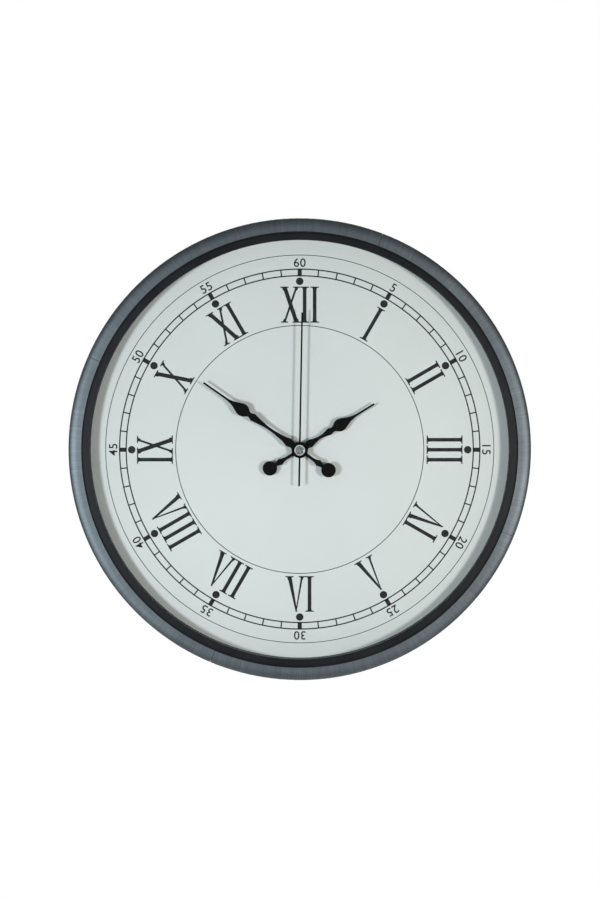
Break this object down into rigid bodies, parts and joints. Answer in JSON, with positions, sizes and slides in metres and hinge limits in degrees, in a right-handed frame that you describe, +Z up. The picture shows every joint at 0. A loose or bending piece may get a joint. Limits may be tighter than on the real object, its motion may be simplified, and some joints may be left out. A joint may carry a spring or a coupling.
{
  "type": "wall clock",
  "caption": "Round wall clock with a brushed metal rim over a black body, glass lens, roman numeral dial, spade hands and a quartz movement, hung by a keyhole plate.",
  "frame": {"origin": "point of the wall plane behind the hands' arbor, at the centre of the body's rear edge", "axes": "+Z up with the XII at the top, +Y into the wall, the dial faces -Y, +X to the viewer's right"},
  "size_m": [0.35, 0.0396, 0.35],
  "materials": {
    "rim_metal": "brushed",
    "body_plastic": "matt",
    "glass": "clear",
    "dial": "matt print",
    "screw_steel": "zinc plated",
    "movement_plastic": "moulded",
    "brass": "turned",
    "rubber": "matt",
    "battery_wrap": "wrapped",
    "contact_metal": "nickel plated",
    "board": "lacquered",
    "chip": "resin",
    "lamination": "punched",
    "wheel_plastic": "moulded",
    "copper_wire": "enamelled",
    "hand_black": "satin",
    "cap_metal": "turned"
  },
  "bodies": {
    "case": {"rim_strip_1": "rim_metal", "rim_strip_2": "rim_metal", "rim_strip_3": "rim_metal", "rim_strip_4": "rim_metal", "frame_ring": "body_plastic", "lens": "glass", "spacer_ring": "body_plastic", "dial_plate": "dial", "back_cover": "body_plastic", "cover_screws": "screw_steel", "hanger_plate": "screw_steel", "hanger_screws": "screw_steel", "movement_front_shell": "movement_plastic", "movement_back_shell": "movement_plastic", "middle_plate": "movement_plastic", "threaded_bushing": "brass", "dial_gasket": "rubber", "dial_washer": "brass", "mounting_nut": "brass", "battery": "battery_wrap", "plus_contact": "contact_metal", "minus_contact": "contact_metal", "circuit_board": "board", "quartz_crystal": "contact_metal", "control_chip": "chip", "stator": "lamination", "coil_core": "lamination", "coil_bobbin": "wheel_plastic", "coil_winding": "copper_wire"},
    "seconds": {"seconds_wheel": "lamination", "second_hand": "hand_black", "second_hand_cap": "cap_metal"},
    "rotor": {"rotor": "lamination"},
    "intermediate": {"intermediate_wheel": "wheel_plastic"},
    "third": {"third_wheel": "wheel_plastic"},
    "centre": {"centre_wheel": "wheel_plastic"},
    "minute": {"minute_arbor": "brass", "minute_hand": "hand_black"},
    "minute_pin": {"minute_wheel_pin": "lamination"},
    "minute_gear": {"minute_wheel": "wheel_plastic"},
    "sleeve": {"hour_sleeve": "movement_plastic"},
    "hour": {"hour_wheel": "wheel_plastic", "hour_hand": "hand_black"},
    "setting_pin": {"knob_pin": "lamination"},
    "knob": {"setting_knob": "wheel_plastic"}
  },
  "joints": [
    {"name": "seconds_turn", "type": "hinge", "parent": "case", "child": "seconds", "pos_m": [0, -0.02, 0], "axis": [0, 1, 0], "continuous": true},
    {"name": "rotor_turn", "type": "hinge", "parent": "case", "child": "rotor", "pos_m": [0.01319, -0.013, 0.01093], "axis": [0, 1, 0], "continuous": true},
    {"name": "intermediate_turn", "type": "hinge", "parent": "case", "child": "intermediate", "pos_m": [0.00779, -0.013, 0.0045], "axis": [0, 1, 0], "continuous": true},
    {"name": "third_turn", "type": "hinge", "parent": "case", "child": "third", "pos_m": [-0.00779, -0.015, 0.0045], "axis": [0, 1, 0], "continuous": true},
    {"name": "centre_turn", "type": "hinge", "parent": "case", "child": "centre", "pos_m": [0, -0.017, 0], "axis": [0, 1, 0], "continuous": true},
    {"name": "minute_setting", "type": "hinge", "parent": "centre", "child": "minute", "pos_m": [0, -0.02, 0], "axis": [0, 1, 0], "continuous": true},
    {"name": "minute_pin_turn", "type": "hinge", "parent": "case", "child": "minute_pin", "pos_m": [0, -0.02, 0.012], "axis": [0, 1, 0], "continuous": true},
    {"name": "minute_wheel_setting", "type": "hinge", "parent": "minute_pin", "child": "minute_gear", "pos_m": [0, -0.02, 0.012], "axis": [0, 1, 0], "continuous": true},
    {"name": "sleeve_turn", "type": "hinge", "parent": "case", "child": "sleeve", "pos_m": [0, -0.025, 0], "axis": [0, 1, 0], "continuous": true},
    {"name": "hour_setting", "type": "hinge", "parent": "sleeve", "child": "hour", "pos_m": [0, -0.025, 0], "axis": [0, 1, 0], "continuous": true},
    {"name": "knob_pin_turn", "type": "hinge", "parent": "case", "child": "setting_pin", "pos_m": [-0.01128, -0.014, 0.0161], "axis": [0, 1, 0], "continuous": true},
    {"name": "knob_setting", "type": "hinge", "parent": "setting_pin", "child": "knob", "pos_m": [-0.01128, -0.014, 0.0161], "axis": [0, 1, 0], "continuous": true}
  ],
  "couplings": [
    {"joint": "rotor_turn", "follows": "seconds_turn", "ratio": 30},
    {"joint": "intermediate_turn", "follows": "seconds_turn", "ratio": -5},
    {"joint": "third_turn", "follows": "seconds_turn", "ratio": -0.13333},
    {"joint": "centre_turn", "follows": "seconds_turn", "ratio": 0.016667},
    {"joint": "minute_pin_turn", "follows": "seconds_turn", "ratio": -0.0055556},
    {"joint": "sleeve_turn", "follows": "seconds_turn", "ratio": 0.0013889},
    {"joint": "knob_pin_turn", "follows": "seconds_turn", "ratio": 0.016667},
    {"joint": "minute_wheel_setting", "follows": "minute_setting", "ratio": -0.33333},
    {"joint": "hour_setting", "follows": "minute_setting", "ratio": 0.083333},
    {"joint": "knob_setting", "follows": "minute_setting", "ratio": 1}
  ]
}
